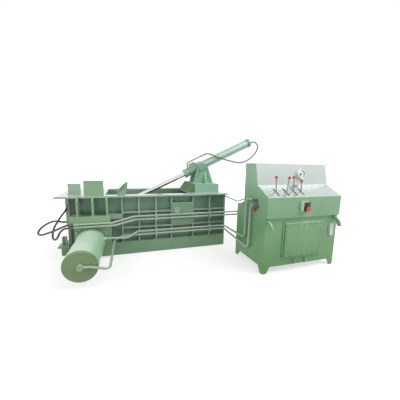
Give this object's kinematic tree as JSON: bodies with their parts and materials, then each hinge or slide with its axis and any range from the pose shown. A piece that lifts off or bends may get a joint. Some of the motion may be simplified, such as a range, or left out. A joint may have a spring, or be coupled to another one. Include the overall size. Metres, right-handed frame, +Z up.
{
  "type": "hydraulic scrap baler",
  "caption": "Hydraulic scrap baler: a ribbed press box with a swinging press lid, side and main rams and a lift gate, worked by levers on a separate oil tank and console.",
  "frame": {"origin": "middle of the press box underside, on the floor", "axes": "+X along the press box toward the power unit, +Y to the rear, +Z up"},
  "size_m": [3.7955, 2.198, 1.7905],
  "materials": {
    "green_enamel": "worn gloss enamel",
    "dark_green_enamel": "worn gloss enamel in shade",
    "pale_sheet": "polished pale sheet",
    "bright_steel": "ground and plated steel",
    "pipe_steel": "plain steel pipe",
    "dark_iron": "oily machined iron",
    "hose_rubber": "smooth hose cover",
    "red_plastic": "moulded knob plastic",
    "pale_plastic": "moulded plastic",
    "black_metal": "matt black"
  },
  "bodies": {
    "root": {"base_frame": "dark_green_enamel", "front_wall": "green_enamel", "rear_wall": "green_enamel", "right_end_wall": "green_enamel", "top_rim": "green_enamel", "gate_frame": "dark_green_enamel", "left_cover": "green_enamel", "ram_deck": "dark_green_enamel", "side_beam": "green_enamel", "front_guard": "green_enamel", "left_guard": "pale_sheet", "guide_horn": "green_enamel", "access_cover": "green_enamel", "stand_base": "green_enamel", "stand_plates": "green_enamel", "trunnion_caps": "dark_green_enamel", "lid_hinge_pin": "bright_steel", "side_barrel": "dark_green_enamel", "side_flange": "green_enamel", "flange_bolts": "dark_iron", "main_barrel": "dark_iron", "gate_barrel": "bright_steel", "gate_pipes": "pipe_steel", "side_pipes": "pipe_steel", "lid_line": "pipe_steel", "pipe_fittings": "pipe_steel", "gate_hose_a": "hose_rubber", "gate_hose_b": "hose_rubber", "tank": "green_enamel", "tank_legs": "green_enamel", "hatch_cover": "green_enamel", "hatch_bolts": "pipe_steel", "level_gauge": "pale_plastic", "drain_plugs": "pipe_steel", "tank_caps": "red_plastic", "console": "green_enamel", "lever_panel": "pale_sheet", "valve_block": "dark_iron", "gauge_case": "pale_plastic", "button_box": "pale_plastic", "pump_motor": "dark_iron", "oil_pump": "dark_iron"},
    "lid": {"lid": "green_enamel"},
    "lid_cylinder": {"lid_barrel": "green_enamel", "lid_gland": "dark_green_enamel", "lid_end_cap": "dark_green_enamel", "lid_valve_block": "dark_iron", "lid_tube": "pipe_steel", "lid_hose": "hose_rubber"},
    "lid_rod": {"lid_rod": "bright_steel"},
    "side_ram": {"side_ram": "dark_iron"},
    "main_ram": {"main_ram": "dark_iron"},
    "gate": {"gate": "dark_green_enamel"},
    "lever_1": {"lever_1": "bright_steel"},
    "lever_2": {"lever_2": "bright_steel"},
    "lever_3": {"lever_3": "bright_steel"},
    "lever_4": {"lever_4": "bright_steel"},
    "gauge_needle": {"gauge_needle": "black_metal"},
    "start_button": {"start_button": "black_metal"},
    "stop_button": {"stop_button": "red_plastic"}
  },
  "joints": [
    {"name": "lid_hinge", "type": "hinge", "parent": "root", "child": "lid", "pos_m": [0.42, 0, 0.6], "axis": [0, 1, 0], "range_deg": [0, 60]},
    {"name": "lid_cylinder_swing", "type": "hinge", "parent": "root", "child": "lid_cylinder", "pos_m": [0.9, 0, 1.269], "axis": [0, 1, 0], "range_deg": [0, 25.8]},
    {"name": "lid_rod_slide", "type": "slide", "parent": "lid_cylinder", "child": "lid_rod", "axis": [0.9021, 0, 0.4315], "range_m": [0, 0.574]},
    {"name": "main_ram_slide", "type": "slide", "parent": "root", "child": "main_ram", "axis": [-1, 0, 0], "range_m": [0, 0.72]},
    {"name": "side_ram_slide", "type": "slide", "parent": "root", "child": "side_ram", "axis": [0, 1, 0], "range_m": [0, 0.38]},
    {"name": "gate_lift", "type": "slide", "parent": "root", "child": "gate", "axis": [0, 0, 1], "range_m": [0, 0.25]},
    {"name": "lever_1_throw", "type": "hinge", "parent": "root", "child": "lever_1", "pos_m": [1.3928, -1.495, 0.93], "axis": [1, 0, 0], "range_deg": [-15, 15]},
    {"name": "lever_2_throw", "type": "hinge", "parent": "root", "child": "lever_2", "pos_m": [1.5329, -1.495, 0.93], "axis": [1, 0, 0], "range_deg": [-15, 15]},
    {"name": "lever_3_throw", "type": "hinge", "parent": "root", "child": "lever_3", "pos_m": [1.6564, -1.495, 0.93], "axis": [1, 0, 0], "range_deg": [-15, 15]},
    {"name": "lever_4_throw", "type": "hinge", "parent": "root", "child": "lever_4", "pos_m": [1.7631, -1.495, 0.93], "axis": [1, 0, 0], "range_deg": [-15, 15]},
    {"name": "gauge_needle_turn", "type": "hinge", "parent": "root", "child": "gauge_needle", "pos_m": [1.87653, -1.3203, 1.20479], "axis": [0, -0.9693, 0.246], "range_deg": [-270, 0], "stiffness_Nm_per_rad": 0.002},
    {"name": "start_button_press", "type": "slide", "parent": "root", "child": "start_button", "axis": [0, 1, 0], "range_m": [0, 0.006], "stiffness_N_per_m": 600},
    {"name": "stop_button_press", "type": "slide", "parent": "root", "child": "stop_button", "axis": [0, 1, 0], "range_m": [0, 0.008], "stiffness_N_per_m": 600}
  ],
  "couplings": [
    {"joint": "lid_cylinder_swing", "follows": "lid_hinge", "ratio": 0.42862},
    {"joint": "lid_rod_slide", "follows": "lid_hinge", "m_per_rad": 0.54668}
  ]
}
